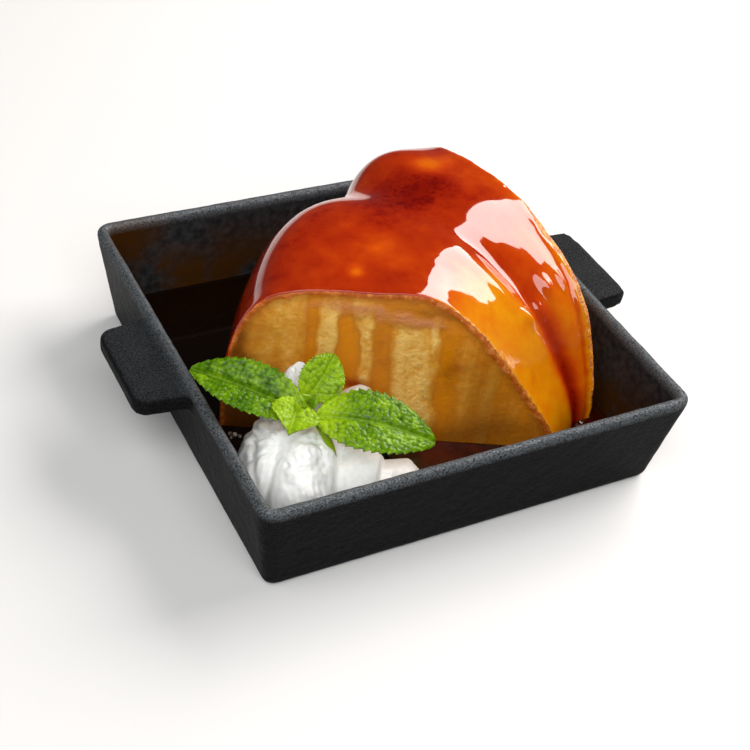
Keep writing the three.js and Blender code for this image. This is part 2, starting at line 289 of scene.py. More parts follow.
# Grooves over the slice, with lobes that swell between them: angle, half width, depth on the
# outer side, crown and inner side, and the bow and hook that bend a groove off its angle.
FLUTES = [
    (120.5, 5.6, 3.4, 0.7, 1.2, 3.6, 5.5),
    (104.5, 2.8, 0, 0.2, 0.8, 0, 0),
    (110, 7, -3.2, -0.7, 0, 0, 0),
    (137, 11, -2.2, -0.4, 0, 0, 0),
]
# Hollows and swellings of the skin: angle, place along the section, half widths, and depth.
# The small swellings are drips that stood still as the caramel cooled.
DENTS = [
    (125.0, 0.385, 4.0, 0.055, 0.95),
    (112.5, 0.44, 6.5, 0.055, 0.85),
    (125.5, 0.46, 3, 0.04, 0.40),
    (133, 0.37, 3.0, 0.08, -0.35),
    (141, 0.437, 4.5, 0.014, 0.24),
    (129, 0.280, 2.6, 0.018, -1.2),
    (122, 0.285, 2.4, 0.024, -1.2),
    (114.5, 0.315, 2.2, 0.018, -0.9),
    (107, 0.315, 1.4, 0.018, -0.8),
    (103.5, 0.280, 1.2, 0.018, -0.7),
    (104.5, 0.222, 0.9, 0.010, -0.4),
]


def spline(knots, along):
    """Points at along, 0 to 1, on an evenly stepped Catmull-Rom curve through knots."""
    knots = np.array(knots, float)
    last = len(knots) - 1
    place = along * last
    i = np.minimum(place.astype(int), last)
    w = (place - i)[..., None]
    before, here = knots[np.maximum(i - 1, 0)], knots[i]
    ahead, beyond = knots[np.minimum(i + 1, last)], knots[np.minimum(i + 2, last)]
    v0, v1 = (ahead - before) / 2, (beyond - here) / 2
    cubic = 2 * here - 2 * ahead + v0 + v1
    square = -3 * here + 3 * ahead - 2 * v0 - v1
    return cubic * w**3 + square * w**2 + v0 * w + here


def ring_section(angle, along):
    """The section at an angle, blended from the near cut's to the far cut's."""
    turned = ((NEAR_CUT - angle) / (NEAR_CUT - FAR_CUT))[..., None]
    return spline(NEAR_SECTION, along) * (1 - turned) + spline(FAR_SECTION, along) * turned


def groove_middle(at, bow, hook, along):
    """The angle of a groove's middle, bowed on the inner slope and hooked at its foot."""
    return at + bow * bell(along, 0.38, 0.15) - hook * (1 - smooth_step(along, 0, 0.25))


def from_axis(points):
    """How far points lie from the ring's axis, seen from above."""
    return np.hypot(points[..., 0] - RING_AXIS[0], points[..., 1] - RING_AXIS[1])


def from_cuts(points, angle):
    """How far points lie from the near cut and from the far cut, round the ring."""
    reach = from_axis(points)
    return reach * np.radians(NEAR_CUT - angle), reach * np.radians(angle - FAR_CUT)


def ring_skin(angle, along, sink=0.0, swing=0.0):
    """Points of the slice's skin. sink moves them inwards and swing round the ring, in mm."""
    section = ring_section(angle, along)
    ahead = ring_section(angle, np.minimum(along + 1e-4, 1))
    behind = ring_section(angle, np.maximum(along - 1e-4, 0))
    tangent = ahead - behind
    tangent /= np.linalg.norm(tangent, axis=-1, keepdims=True)
    # How far each point belongs to the outer side and the inner side. The rest is crown.
    outer = smooth_step(along, 0.56, 0.72) * (1 - 0.8 * smooth_step(along, 0.78, 1))
    inner = 1 - smooth_step(along, 0.18, 0.5)
    depth = sink + np.zeros_like(along)
    for at, half_width, on_outer, on_crown, on_inner, bow, hook in FLUTES:
        deep = on_inner * inner + on_outer * outer + on_crown * (1 - outer) * (1 - inner)
        depth = depth + deep * bell(angle, groove_middle(at, bow, hook, along), half_width)
    for at, place, wide, high, deep in DENTS:
        depth = depth + deep * bell(angle, at, wide) * bell(along, place, high)
    r = section[..., 0] + depth * tangent[..., 1]
    z = section[..., 1] - depth * tangent[..., 0]
    z = np.where((along <= 0) | (along >= 1), FOOT, np.maximum(z, FOOT))
    turn = np.radians(angle)
    x = RING_AXIS[0] + r * np.cos(turn) - swing * np.sin(turn)
    y = RING_AXIS[1] + r * np.sin(turn) + swing * np.cos(turn)
    return np.stack([x, y, z], -1)


# A cut edge is drawn back by EDGE_DRAW, less and less over EDGE_ROUND. A tear's slope is its depth
# over its width.
EDGE_ROUND = 0.9
EDGE_DRAW = 0.42
TEAR_SLOPE = 0.42
# How many points the skin has from cut to cut, and along its section, and a cut from rim to foot.
SKIN_COLUMNS = 168
SKIN_ROWS = 301
CUT_ROWS = 60


def rounding(distance):
    """How far a surface draws back beside the slice's cut edge."""
    return EDGE_DRAW * np.clip(1 - distance / EDGE_ROUND, 0, 1) ** 2


def torn_off(from_far, along):
    """How much custard is missing beside the far cut, where the caramel skin tore away."""
    wide = 0.9 + 2.5 * bell(along, 0.405, 0.045) + 0.8 * bell(along, 0.33, 0.03)
    return TEAR_SLOPE * wide * np.clip(1 - from_far / wide, 0, 1)


def skin_shape(angle, along):
    """Points of the finished skin: soft waves in the caramel, and edges softened at the cuts."""
    bare = ring_skin(angle, along)
    from_near, from_far = from_cuts(bare, angle)
    # Nothing moves at the foot, so that it stays flat on the dish. The waves on the inner slope
    # are long runs of caramel, in degrees round the ring and parts of the section.
    clear = smooth_step(bare[..., 2], FOOT, FOOT + 4)
    run = stacked(angle * 1.2, along * 28)
    inner = 1 - smooth_step(along, 0.42, 0.56)
    waves = 0.16 * rumple(bare * [1, 1, 0.6], 11, 11) + 0.03 * rumple(bare, 5.5, 12)
    waves = waves + 0.11 * inner * rumple(run, 6.5, 13) + 0.025 * inner * rumple(run, 2.6, 14)
    torn = np.exp(-from_far / 1.8) * layered_rumple(bare, 3.6, 21) * 0.45
    torn = torn + torn_off(from_far, along)
    nicked = np.exp(-from_near / 0.8) * layered_rumple(bare, 1.5, 22) * 0.28
    sink = 0.05 + (waves + torn + nicked) * clear
    sink = sink + rounding(from_near) + 0.35 * rounding(from_far)
    swing = 0.4 * rounding(from_far) - rounding(from_near)
    return ring_skin(angle, along, sink, swing)


CUT_MARKS = ("pale", "film", "stain", "shade", "from_edge")
# Smears that the knife left on the cuts: distance from the ring's axis, half width, lean,
# lower and upper end, softness, and paleness, where below nought is a clearer amber.
KNIFE_SMEARS = [
    (112, 3, 0, 10, 60, 0.9, 0.15),
    (105, 4, 0, 10, 60, 0.9, 0.45),
    (99.5, 2.6, 0, 10, 60, 0.8, 0.35),
    (96, 1.6, 0, 20, 60, 0.6, -0.6),
    (92.2, 2.7, 0.03, 20, 54, 0.5, 1.0),
    (87, 2.6, 0.02, 20, 52, 0.8, -1.0),
    (81.4, 1.7, 0.16, 20, 56, 0.5, 0.9),
    (76.6, 2.2, 0.05, 6, 49, 0.7, -0.35),
    (67.6, 5.8, 0.09, 13, 48, 0.5, 1.0),
    (61.6, 0.9, 0.05, 41, 50, 0.7, 0.9),
    (58.5, 2.0, 0.05, 10, 50, 0.8, -0.35),
    (53.5, 2.6, 0.05, 8, 44, 0.9, 0.25),
    (46.5, 3, 0.05, 6, 36, 0.9, 0.2),
]
# Blots on the cuts: distance from the axis, height, half widths, kind and strength. A film of
# thin caramel skin hangs over the top, painted pale and pinkish also for its wet highlights, and
# caramel stains the middle. The shade blots are painted shade: along the foot, under the film
# and in patches elsewhere.
CUT_BLOTS = [
    (90, 52.5, 6, 2.4, "film", 0.9),
    (82, 52, 4, 3, "film", 0.8),
    (73, 50, 5, 2.2, "film", 0.8),
    (66, 48.5, 6, 2.0, "film", 1.0),
    (98, 51, 3, 2, "film", 0.4),
    (78.5, 50.5, 1.2, 3, "film", 0.7),
    (82.5, 26, 6, 2.6, "stain", 1.0),
    (75.6, 34, 2.6, 3.5, "stain", 0.6),
    (77.5, 41, 2.4, 2.5, "stain", 0.5),
    (88, 30, 4, 5, "stain", 0.35),
    (72, 28, 3, 5, "stain", 0.3),
    (116.5, 30, 4, 30, "shade", 0.9),
    (108, 38, 8, 14, "shade", 0.3),
    (60, 52, 16, 3.2, "shade", 0.7),
    (84, 49.5, 6, 1.8, "shade", 0.5),
    (70, 46.8, 8, 1.8, "shade", 0.6),
    (47, 28, 9, 16, "shade", 0.55),
    (38, 14, 16, 8, "shade", 0.5),
    (60, 8, 22, 6, "shade", 0.6),
    (105, 8, 22, 14, "shade", 1.0),
    (57.5, 32, 2.2, 5, "shade", 0.5),
    (54.5, 34, 3.2, 2.6, "stain", 0.7),
    (49, 36, 2.2, 3, "stain", 0.4),
    (62, 24, 3, 5, "shade", 0.4),
]


def smeared(across, height, seed):
    """Paleness over a cut face, from -1 to 1."""
    place = stacked(across, height * 0.4, seed)
    drift = 1.5 * rumple(place, 5, 31) + 0.6 * rumple(place * [3, 3, 1], 4, 32)
    total = np.zeros_like(across)
    for at, half_width, lean, low, high, soft, pale in KNIFE_SMEARS:
        side = np.abs(across + drift - at - lean * (height - 38))
        inside = 1 - smooth_step(side, half_width * (1 - soft), half_width * (1 + soft))
        ends = smooth_step(height, low - 5, low + 3) * (1 - smooth_step(height, high - 4, high + 2))
        total = total + pale * inside * ends
    total = total * (0.9 + 0.35 * layered_rumple(place * [1, 3, 1], 3, 35))
    streaks = stacked(across, height * 0.15, seed)
    return np.clip(total + 0.22 * layered_rumple(streaks, 3.4, 36), -1, 1)


def blotted(across, height, kind, seed):
    """How strongly one kind of blot marks each point of a cut face."""
    place = stacked(across, height, seed)
    across = across + 1.6 * layered_rumple(place, 4, 33)
    height = height + 1.2 * layered_rumple(place, 3, 34)
    total = np.zeros_like(across)
    for at, level, wide, high, what, strength in CUT_BLOTS:
        if what == kind:
            total = total + strength * bell(across, at, wide) * bell(height, level, high)
    return np.clip(total, 0, 1)


def cut_face(outline, outward, seed):
    """A cut face hung from its outline in upright columns, down to the slice's foot."""
    reach = from_axis(outline)
    # Rows stand closer near the outline, where the edge is rounded.
    down = np.linspace(0, 1, CUT_ROWS + 1) ** 1.25
    points = np.repeat(outline[None], CUT_ROWS + 1, axis=0)
    points[..., 2] = outline[None, :, 2] + (FOOT - outline[None, :, 2]) * down[:, None]
    flat = np.stack([reach[None].repeat(CUT_ROWS + 1, 0), points[..., 2]], -1)
    edge = np.stack([reach, outline[:, 2]], -1)
    away = flat[:, :, None] - edge[None, None, ::2]
    distance = np.min(np.hypot(away[..., 0], away[..., 1]), axis=2)
    distance[0] = 0
    amounts = {"pale": smeared(flat[..., 0], flat[..., 1], seed)}
    for kind in ("film", "stain", "shade"):
        amounts[kind] = blotted(flat[..., 0], flat[..., 1], kind, seed)
    # The face is sunk 0.25 mm, smears stand up from that, and the blade's drag runs upright.
    place = stacked(flat[..., 0], flat[..., 1] * 0.12, seed)
    drag = 0.10 * rumple(place, 2.4, 41) + 0.05 * rumple(place, 0.9, 42)
    spot = stacked(flat[..., 0], flat[..., 1])
    fine = 0.06 * layered_rumple(spot, 1.6, 43)
    inside = smooth_step(distance, 0.2, 2)
    lift = (0.10 * amounts["pale"] + drag + fine) * inside - 0.25 * inside
    lift = lift + rounding(0) - rounding(distance)
    lift = np.where(flat[..., 1] < FOOT + 0.01, np.minimum(lift, 0), lift)
    points = points + outward * lift[..., None]
    ragged = 0.8 * layered_rumple(spot, 2.4, 44)
    amounts["from_edge"] = np.maximum(distance + ragged * np.minimum(distance, 1), 0)
    return points, amounts


def make_slice():
    """The wedge: its skin as one sheet from cut to cut, a face over each cut, and a flat foot."""
    # A few more columns stand close to the cuts, where the edge is rounded.
    close = np.array([0.0012, 0.0028, 0.0045])
    turned = np.sort(np.concatenate([np.linspace(0, 1, SKIN_COLUMNS), close, 1 - close]))
    alongs = np.linspace(0, 1, SKIN_ROWS)
    angle, along = np.meshgrid(NEAR_CUT + (FAR_CUT - NEAR_CUT) * turned, alongs, indexing="ij")
    skin = skin_shape(angle, along)
    unmarked = dict.fromkeys(CUT_MARKS, np.zeros(angle.shape))
    sheets = [(skin, {"turned": angle, "along": along, **unmarked})]
    for at, outline, side, seed in ((NEAR_CUT, skin[0], 1, 3.3), (FAR_CUT, skin[-1], -1, 47.7)):
        turn = math.radians(at)
        outward = side * np.array([-math.sin(turn), math.cos(turn), 0])
        face, marks = cut_face(outline, outward, seed)
        place = {"turned": np.full(face.shape[:2], at), "along": np.tile(alongs, (len(face), 1))}
        sheets.append((face, {**place, **marks}))
    points, faces = [], []
    for sheet, _ in sheets:
        faces.append(grid_faces(*sheet.shape[:2], start=sum(map(len, points))))
        points.append(sheet.reshape(-1, 3))
    piece = new_piece("custard_slice", np.concatenate(points), np.concatenate(faces))
    is_cut = np.repeat([0, 1, 1], [len(part) for part in faces])
    piece.data.polygons.foreach_set("material_index", is_cut)
    for name in sheets[0][1]:
        set_amount(piece, name, np.concatenate([amounts[name].ravel() for _, amounts in sheets]))
    return smooth_shaded(tidy_mesh(piece, close=True))


# How thick the caramel lies, on top of what the grooves and the slope give: angle, place along
# the section, half widths of both, and the change. Thin caramel is amber, thick is dark red.
CARAMEL_PATCHES = [
    (139, 0.555, 4.5, 0.03, -0.20),
    (148.4, 0.570, 1.6, 0.010, -0.30),
    (142.6, 0.515, 4, 0.03, -0.10),
    (108.2, 0.62, 3, 0.028, -0.34),
    (103.4, 0.618, 2.5, 0.03, -0.14),
    (119, 0.585, 8, 0.055, 0.26),
    (112, 0.575, 4, 0.02, 0.12),
    (136, 0.66, 8, 0.03, 0.06),
    (150, 0.40, 4, 0.04, 0.05),
    (102, 0.50, 3, 0.08, -0.16),
    (101.5, 0.30, 2.2, 0.10, -0.12),
    (130, 0.42, 5, 0.04, 0.12),
    (115, 0.36, 9, 0.06, 0.20),
]


def lay_caramel(piece):
    """Stores how thick the caramel lies at each point of the slice, from 0 to 1."""
    angle, along = amount_of(piece, "turned"), amount_of(piece, "along")
    points = points_of(piece)
    # It ran thin on the slope towards the axis, and lies thick over the crown and outside.
    inner = 1 - smooth_step(along, 0.36, 0.50)
    depth = 0.62 - 0.46 * inner + 0.06 * smooth_step(along, 0.66, 0.8)
    depth = depth + inner * 0.10 * (1 - smooth_step(angle, 116, 126))
    # It gathered in the grooves, most of all near the foot.
    low = 1 - smooth_step(along, 0.10, 0.34)
    at, *_, bow, hook = FLUTES[0]
    groove = groove_middle(at, bow, hook, along)
    depth = depth + inner * bell(angle, groove, 4.8 + 1.2 * low) * (0.32 + 0.20 * low)
    depth = depth + inner * 0.16 * bell(angle, 104.0, 1.8) + 0.10 * low * bell(angle, 106, 4)
    for at, place, wide, high, change in CARAMEL_PATCHES:
        depth = depth + change * bell(angle, at, wide) * bell(along, place, high)
    crown = smooth_step(along, 0.44, 0.55)
    depth = depth + crown * 0.09 * layered_rumple(points, 9, 51)
    depth = depth + 0.03 * layered_rumple(points, 3, 52)
    # Beside both cuts, and where the skin tore, next to none is left.
    from_near, from_far = from_cuts(points, angle)
    from_far = from_far + 0.9 * layered_rumple(points, 2.2, 53)
    from_near = from_near + 0.5 * layered_rumple(points, 1.8, 54)
    bare = np.exp(-np.clip(from_far - 0.6, 0, 9) / 0.9) * (0.55 + 0.45 * inner)
    bare = np.maximum(bare, smooth_step(torn_off(from_far, along), 0.02, 0.2))
    bare = np.maximum(bare, inner * np.exp(-np.clip(from_near - 0.4, 0, 9) / 0.6))
    depth = depth * (1 - bare) + 0.05 * bare
    set_amount(piece, "caramel", np.clip(depth, 0, 1))


def caramel_glaze():
    """Burnt-sugar caramel set by baking against the mould: a clear, wet, glass-smooth skin.
    Where it lies thin the custard glows amber through it, and where it is thick it is dark red,
    clouded with curds 3 mm across. Where it tore away, the bare crumb is dull and rough."""
    material, tree, shader = new_material("caramel_glaze")
    depth = add(tree, "Attribute", attribute_name="caramel").outputs["Fac"]
    place = add(tree, "TexCoord").outputs["Object"]
    clouds = add(tree, "TexNoise", {"Vector": place, "Scale": bumps_of(6.25), "Detail": 4,
            "Roughness": 0.6})
    cloud_shift = add(tree, "MapRange", {"Value": clouds, "From Min": 0.3, "From Max": 0.7,
            "To Min": -0.06, "To Max": 0.06})
    curds = add(tree, "TexNoise", {"Vector": place, "Scale": bumps_of(3.03), "Detail": 6,
            "Roughness": 0.7, "Distortion": 1.2})
    curdled = add(tree, "MapRange", {"Value": curds, "From Min": 0.5, "From Max": 0.6,
            "To Max": 0.24})
    thick = add(tree, "MapRange", {"Value": depth, "From Min": 0.62, "From Max": 0.86})
    curd_shift = add(tree, "Math", {0: curdled, 1: thick, 2: cloud_shift},
            operation="MULTIPLY_ADD")
    amount = add(tree, "Math", {0: depth, 1: curd_shift}, operation="ADD", use_clamp=True)
    tint = add(tree, "ValToRGB", {"Fac": amount}, stops=[
            (0.0, "#d8960e"), (0.13, "#d08204"), (0.28, "#c86202"), (0.43, "#bc4404"),
            (0.58, "#a42c02"), (0.72, "#8e1a01"), (0.86, "#780c00"), (1.0, "#660500")])
    torn = add(tree, "MapRange", {"Value": depth, "From Min": 0.06, "From Max": 0.13,
            "To Min": 1.0, "To Max": 0.0})
    crumb = add(tree, "TexNoise", {"Vector": place, "Scale": bumps_of(1.11), "Detail": 4,
            "Roughness": 0.65})
    bared = add(tree, "ValToRGB", {"Fac": crumb}, stops=[
            (0.38, "#a4500a"), (0.5, "#c07410"), (0.62, "#dc9c26")])
    colour = add(tree, "Mix", {0: torn, 6: tint, 7: bared}, data_type="RGBA")
    gloss = add(tree, "MapRange", {"Value": torn, "To Min": 0.05, "To Max": 0.5})
    rough = add(tree, "Math", {0: crumb, 1: torn}, operation="MULTIPLY")
    bump = add(tree, "Bump", {"Height": rough, "Strength": 0.5, "Distance": 1 * MM})
    connect(tree, shader, {"Base Color": colour, "Roughness": gloss, "Normal": bump, "IOR": 1.47,
            "Specular IOR Level": 0.9, "Subsurface Weight": 0.25,
            "Subsurface Radius": (1.0, 0.3, 0.08), "Subsurface Scale": 2.5 * MM})
    return material


def cut_custard():
    """Baked egg custard, cut with a wet knife: close, moist and faintly see-through, with pale
    smears where the blade dragged and amber where the caramel has soaked in. Its grain is drawn
    out upwards, and it is creased every 1.6 mm where the blade pulled it. Painted light and shade
    lie along the creases, and painted shade darkens the face at its foot, under the top and in
    patches elsewhere. The film of caramel skin at the top is also painted pale and pinkish for
    its wet highlights."""
    material, tree, shader = new_material("cut_custard")
    place = add(tree, "TexCoord").outputs["Object"]
    marks = {name: add(tree, "Attribute", attribute_name=name).outputs["Fac"]
             for name in CUT_MARKS}
    upright = add(tree, "Mapping", {"Vector": place, "Scale": (1, 1, 0.2)})
    grain = add(tree, "TexNoise", {"Vector": upright, "Scale": bumps_of(3.85), "Detail": 5,
            "Roughness": 0.6})
    mottle = add(tree, "TexNoise", {"Vector": place, "Scale": bumps_of(2.38), "Detail": 5,
            "Roughness": 0.7})
    ripple = add(tree, "TexNoise", {"Vector": place, "Scale": bumps_of(1.61), "Detail": 3,
            "Roughness": 0.6, "Distortion": 0.4})
    grained = add(tree, "Math", {0: grain, 1: 0.5, 2: -0.25}, operation="MULTIPLY_ADD")
    mottled = add(tree, "Math", {0: mottle, 1: 0.4, 2: -0.2}, operation="MULTIPLY_ADD")
    uneven = add(tree, "Math", {0: grained, 1: mottled}, operation="ADD")
    total = add(tree, "Math", {0: marks["pale"], 1: 0.5, 2: 0.5}, operation="MULTIPLY_ADD")
    total = add(tree, "Math", {0: total, 1: uneven}, operation="ADD")
    wrinkled = add(tree, "Math", {0: marks["film"], 1: marks["pale"]}, operation="MAXIMUM")
    wrinkled = add(tree, "Math", {0: wrinkled, 1: 0.25}, operation="MAXIMUM")
    # Painted light and shade: the ripples also make the colour lighter and darker along their
    # creases.
    painted_ripple_shading = add(tree, "MapRange", {"Value": ripple, "From Min": 0.3, "From Max": 0.7,
            "To Min": -0.13, "To Max": 0.13})
    creased = add(tree, "Math", {0: painted_ripple_shading, 1: wrinkled, 2: total}, operation="MULTIPLY_ADD",
            use_clamp=True)
    colour = add(tree, "ValToRGB", {"Fac": creased}, stops=[
            (0.0, "#de8804"), (0.3, "#d2800c"), (0.5, "#c87a18"), (0.75, "#dc9c36"),
            (1.0, "#f0c268")])
    # Painted shade, the caramel stains, and the film of caramel skin, which is painted pale and
    # pinkish also for its wet highlights, lie over the colour in turn.
    layers = (("shade", "#6c3a08", 0.45), ("stain", "#9a3c06", 0.5), ("film", "#cc8450", 1.4))
    for name, over, edge in layers:
        patchy = add(tree, "Math", {0: mottle, 1: edge, 2: -edge / 2}, operation="MULTIPLY_ADD")
        amount = add(tree, "Math", {0: marks[name], 1: patchy}, operation="ADD")
        amount = add(tree, "Math", {0: amount, 1: marks[name]}, operation="MULTIPLY",
                use_clamp=True)
        colour = add(tree, "Mix", {0: amount, 6: colour, 7: linear(over)}, data_type="RGBA")
    under_rim = add(tree, "MapRange", {"Value": marks["from_edge"], "From Min": 1.0,
            "From Max": 3.6, "To Min": 0.6, "To Max": 0.0})
    colour = add(tree, "Mix", {0: under_rim, 6: colour, 7: linear("#8e4a08")}, data_type="RGBA")
    rim_tint = add(tree, "ValToRGB", {"Fac": mottle}, stops=[
            (0.35, "#98400a"), (0.5, "#bb5a18"), (0.65, "#da8a48")])
    rim = add(tree, "MapRange", {"Value": marks["from_edge"], "From Min": 0.9, "From Max": 1.7,
            "To Min": 0.85, "To Max": 0.0})
    colour = add(tree, "Mix", {0: rim, 6: colour, 7: rim_tint}, data_type="RGBA")
    ripples = add(tree, "Math", {0: ripple, 1: wrinkled}, operation="MULTIPLY")
    height = add(tree, "Math", {0: mottle, 1: 0.5, 2: ripples}, operation="MULTIPLY_ADD")
    bump = add(tree, "Bump", {"Height": height, "Strength": 0.5, "Distance": 1.4 * MM})
    connect(tree, shader, {"Base Color": colour, "Normal": bump, "Roughness": 0.28, "IOR": 1.36,
            "Subsurface Weight": 0.25, "Subsurface Radius": (1.0, 0.5, 0.15),
            "Subsurface Scale": 2 * MM})
    return material


# ---- the cast-iron dish -------------------------------------------------------------------------

# Half the dish's outside width at its rim and at its foot, with the wall leaning out between.
RIM_HALF = 65.6
FOOT_HALF = 60.8
DISH_HEIGHT = 32.2
WALL = 3.7
FLOOR = 4.0
LIP = 1.9
CORNER = 5.0
FOOT_CORNER = 3.0
WALL_LEAN = (RIM_HALF - FOOT_HALF) / (DISH_HEIGHT - LIP)
# Half the width to the middle of the wall, at the height of the table.
MID_WALL = 58.5
# A lug is a slab from inside the wall outwards. It is narrower at its outer end, and its middle
# lies a little off the wall's.
LUG_ROOT = RIM_HALF - 2.1
LUG_END = RIM_HALF + 14.0
LUG_TOP = DISH_HEIGHT - 2.6
LUG_WIDTH = 36.4
LUG_THICKNESS = 5.6
LUG_MIDDLE = 3.0
LUG_TAPER = 1.7
# The inside corner that the caramel splashed. Its brown there also paints the caramel's reflection.
SPLASHED = (-60, 58, 27)


def inside_half(z):
    """Half the dish's inside width at a height."""
    return FOOT_HALF - WALL + WALL_LEAN * z


def rounded_square(half, radius, z, steps=10):
    """Points round a square with rounded corners."""
    turn = np.concatenate([(c + np.linspace(0, 1, steps + 1)) * math.pi / 2 for c in range(4)])
    middle = (np.repeat(np.arange(4), steps + 1) + 0.5) * math.pi / 2
    x = (half - radius) * np.sign(np.cos(middle)) + radius * np.cos(turn)
    y = (half - radius) * np.sign(np.sin(middle)) + radius * np.sin(turn)
    return stacked(x, y, z)


def dish_bowl():
    """The bowl as one skin, wound from the underside over the rim to the floor inside."""
    outlines = [
        rounded_square(FOOT_HALF - 1.4, FOOT_CORNER - 0.84, 0),
        rounded_square(FOOT_HALF - 0.42, FOOT_CORNER, 0.42),
        rounded_square(FOOT_HALF + WALL_LEAN * 1.4, FOOT_CORNER, 1.4),
    ]
    for turn in np.linspace(0, math.pi, 13):
        half = RIM_HALF - LIP + LIP * math.cos(turn)
        radius = CORNER - LIP + LIP * math.cos(turn)
        outlines.append(rounded_square(half, radius, DISH_HEIGHT - LIP + LIP * math.sin(turn)))
    inner_corner = CORNER - 2 * LIP + 0.8
    outlines.append(rounded_square(inside_half(FLOOR + 2), inner_corner + 1, FLOOR + 2))
    outlines.append(rounded_square(inside_half(FLOOR) - 0.6, inner_corner + 1, FLOOR + 0.6))
    outlines.append(rounded_square(inside_half(FLOOR) - 2, inner_corner, FLOOR))
    count = len(outlines[0])
    faces = [list(f) for f in grid_faces(len(outlines), count, wrap=True)]
    faces.append(list(range(count))[::-1])
    faces.append(list(range((len(outlines) - 1) * count, len(outlines) * count)))
    return tidy_mesh(new_piece("cast_iron_dish", np.concatenate(outlines), faces))


def dish_lug(side):
    """One handle lug: a tapered slab that grows out of the wall under the rim."""
    deselect_all()
    halfway = side * (LUG_ROOT + LUG_END) / 2
    bpy.ops.mesh.primitive_cube_add(
        size=1,
        location=(halfway * MM, LUG_MIDDLE * MM, (LUG_TOP - LUG_THICKNESS / 2) * MM),
        scale=((LUG_END - LUG_ROOT) * MM, LUG_WIDTH * MM, LUG_THICKNESS * MM),
    )
    lug = bpy.context.active_object
    lug.name = "lug"
    bpy.ops.object.transform_apply(location=True, rotation=True, scale=True)
    outer = abs(halfway) * MM
    for vertex in lug.data.vertices:
        if vertex.co.x * side > outer:
            vertex.co.y -= math.copysign(LUG_TAPER * MM, vertex.co.y - LUG_MIDDLE * MM)
    bpy.ops.object.mode_set(mode="EDIT")
    bpy.ops.mesh.select_all(action="DESELECT")
    bpy.ops.object.mode_set(mode="OBJECT")
    for edge in lug.data.edges:
        one, two = (lug.data.vertices[i].co for i in edge.vertices)
        edge.select = abs(one.z - two.z) > MM and one.x * side > outer
    bpy.ops.object.mode_set(mode="EDIT")
    bpy.ops.mesh.select_mode(type="EDGE")
    bpy.ops.mesh.bevel(offset=4 * MM, segments=8, affect="EDGES")
    bpy.ops.object.mode_set(mode="OBJECT")
    apply_modifier(lug, "BEVEL", width=1.3 * MM, segments=4, limit_method="ANGLE",
                   angle_limit=math.radians(40))
    return lug


def make_dish():
    """The bowl and its lugs melted into one casting, with the unevenness of the sand mould."""
    dish = joined([dish_bowl(), dish_lug(1), dish_lug(-1)])
    apply_modifier(dish, "REMESH", mode="VOXEL", voxel_size=0.82 * MM, adaptivity=0.0)
    apply_modifier(dish, "SMOOTH", factor=0.5, iterations=3)
    points, normals = points_of(dish), vertices_of(dish, "normal")
    skin = 0.16 + 0.10 * layered_rumple(points, 6, 61) + 0.07 * layered_rumple(points, 2.4, 62)
    points = points - normals * skin[:, None] * smooth_step(points[:, 2], 0, 2)[:, None]
    points[:, 2] = np.clip(points[:, 2], 0, DISH_HEIGHT)
    set_points(dish, points)
    return smooth_shaded(dish)


